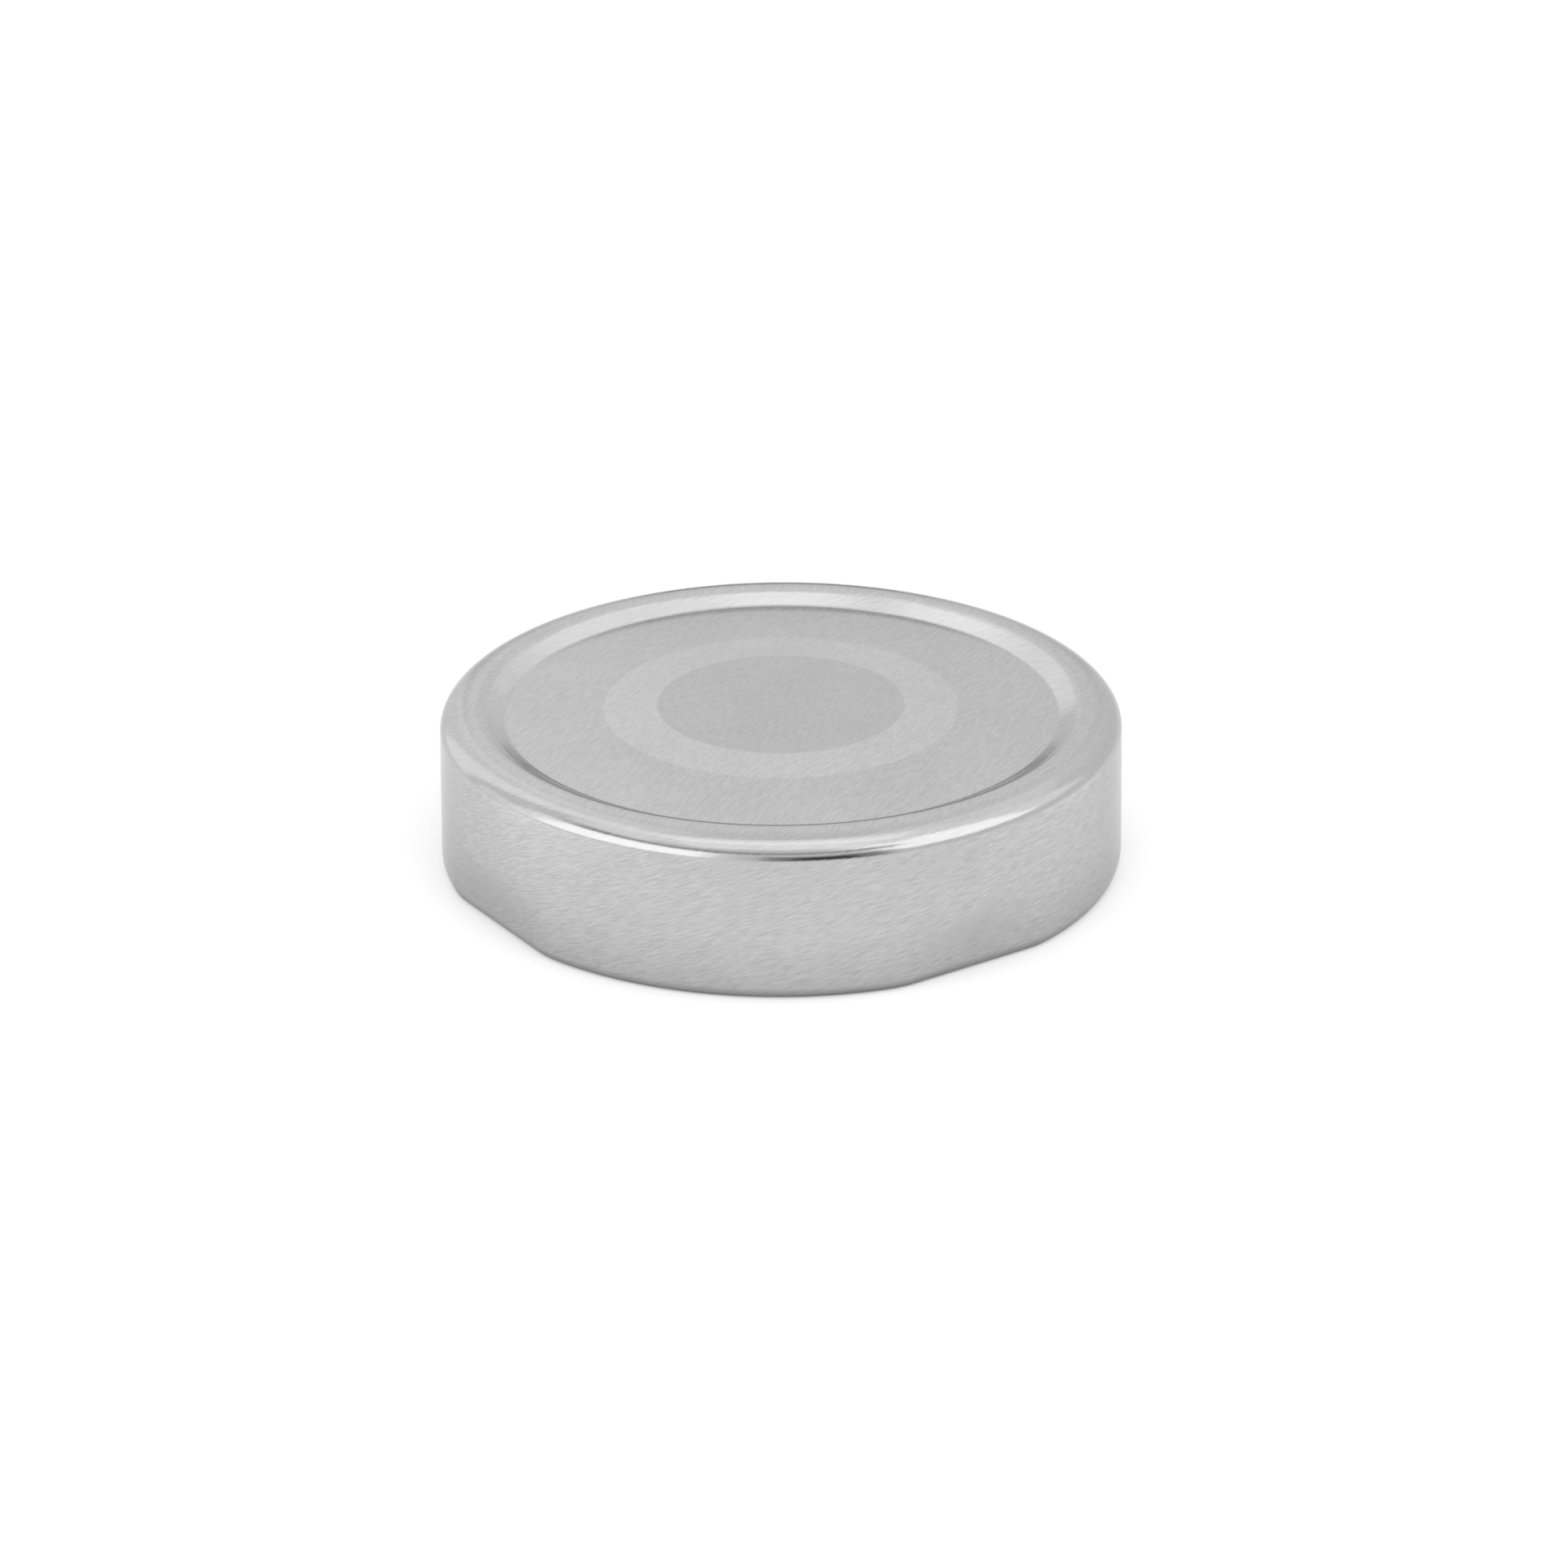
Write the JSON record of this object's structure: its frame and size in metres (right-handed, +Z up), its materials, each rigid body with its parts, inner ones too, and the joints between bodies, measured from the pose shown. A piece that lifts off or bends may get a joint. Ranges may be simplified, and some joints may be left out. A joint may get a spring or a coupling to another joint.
{
  "type": "twist off jar lid",
  "caption": "Round pressed metal lid with a sunken stepped top, a deep plain skirt, a rolled inward curl and inward lugs for a screw-threaded jar.",
  "frame": {"origin": "middle of the plane that the curl rests on, on the lid's axis", "axes": "+Z up along the lid's axis, from the open foot to the rim; the front of the lid faces -Y; the first lug lies 33.8 degrees from +X towards +Y, and the others follow every 90 degrees"},
  "size_m": [0.0694, 0.0694, 0.0165],
  "materials": {
    "tinplate": "satin brushed",
    "sealing_compound": "soft matte"
  },
  "bodies": {
    "root": {"lid_shell": "tinplate", "sealing_ring": "sealing_compound"}
  },
  "joints": []
}
